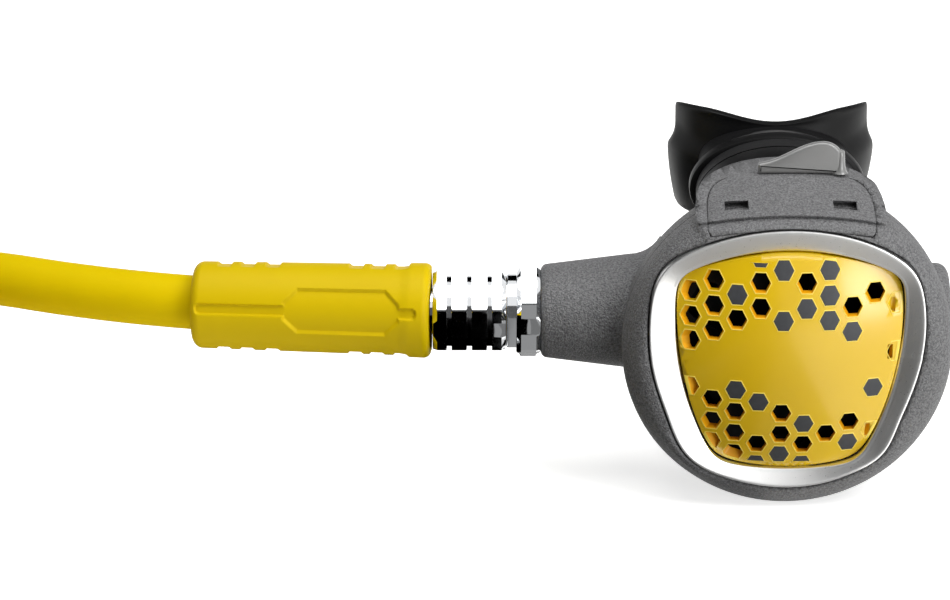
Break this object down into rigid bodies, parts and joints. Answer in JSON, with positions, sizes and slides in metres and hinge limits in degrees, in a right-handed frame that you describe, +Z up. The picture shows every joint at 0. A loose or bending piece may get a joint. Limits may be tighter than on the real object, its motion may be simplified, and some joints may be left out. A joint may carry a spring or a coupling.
{
  "type": "scuba second stage regulator with hose",
  "caption": "Scuba demand valve: round case, domed purge button in a shield frame, mouthpiece, exhaust tee and a wound low pressure hose.",
  "frame": {"origin": "centre of the flat foot of the exhaust tee, on the surface that the part stands on", "axes": "+X along the valve barrel from the hose to the closed boss, +Y from the purge button to the mouthpiece, +Z up"},
  "size_m": [0.3629, 0.1433, 0.0788],
  "materials": {
    "body_grey": "fine grained",
    "trim_silver": "satin silver",
    "yellow_plastic": "gloss",
    "black_plastic": "matt",
    "black_rubber": "satin",
    "silicone": "satin",
    "chrome": "polished",
    "brass": "machined",
    "steel": "drawn wire and sheet",
    "yellow_rubber": "satin",
    "seal_rubber": "satin"
  },
  "bodies": {
    "body": {"case": "body_grey", "front_cover": "body_grey", "trim_frame": "trim_silver", "purge_spring": "steel", "spring_carrier": "black_plastic", "top_clip": "body_grey", "mouthpiece": "black_rubber", "mouthpiece_clamp": "black_plastic", "exhaust_tee": "black_rubber", "exhaust_valve": "silicone", "diaphragm": "silicone", "valve_barrel": "brass", "poppet_spring": "steel", "orifice": "chrome", "orifice_o_ring": "seal_rubber", "case_nut": "chrome", "hose_fitting": "chrome", "fitting_o_ring": "seal_rubber", "hose_protector": "yellow_rubber", "hose": "yellow_rubber", "hose_coil": "yellow_rubber", "far_ferrule": "chrome", "far_fitting": "chrome", "far_o_ring": "seal_rubber"},
    "button": {"purge_button": "yellow_plastic"},
    "diaphragm_centre": {"diaphragm_plate": "steel"},
    "lever": {"demand_lever": "steel"},
    "poppet_group": {"poppet": "brass", "poppet_seat": "seal_rubber", "lever_washer": "steel", "lever_nut": "brass"},
    "dive_control": {"dive_lever": "body_grey", "dive_o_ring": "seal_rubber", "deflector_vane": "black_plastic"},
    "swivel": {"swivel_nut": "chrome"}
  },
  "joints": [
    {"name": "purge_press", "type": "slide", "parent": "body", "child": "button", "axis": [0, 1, 0], "range_m": [0, 0.003], "stiffness_N_per_m": 2500, "deforming": ["purge_spring"]},
    {"name": "diaphragm_stroke", "type": "slide", "parent": "body", "child": "diaphragm_centre", "axis": [0, 1, 0], "range_m": [0, 0.003], "deforming": ["diaphragm"]},
    {"name": "lever_pivot", "type": "hinge", "parent": "body", "child": "lever", "pos_m": [0.01215, -0.02615, 0.0388], "axis": [0, 0, 1], "range_deg": [-10.5, 0]},
    {"name": "poppet_stroke", "type": "slide", "parent": "body", "child": "poppet_group", "axis": [1, 0, 0], "range_m": [0, 0.0013], "deforming": ["poppet_spring"]},
    {"name": "dive_turn", "type": "hinge", "parent": "body", "child": "dive_control", "pos_m": [0.0035, -0.0194, 0.0719], "axis": [0, 0, 1], "range_deg": [-30, 30]},
    {"name": "swivel_turn", "type": "hinge", "parent": "body", "child": "swivel", "pos_m": [-0.069, -0.019, 0.0388], "axis": [1, 0, 0], "continuous": true}
  ],
  "couplings": [
    {"joint": "diaphragm_stroke", "follows": "purge_press", "ratio": 1},
    {"joint": "lever_pivot", "follows": "purge_press", "rad_per_m": -60.4},
    {"joint": "poppet_stroke", "follows": "purge_press", "ratio": 0.427}
  ]
}
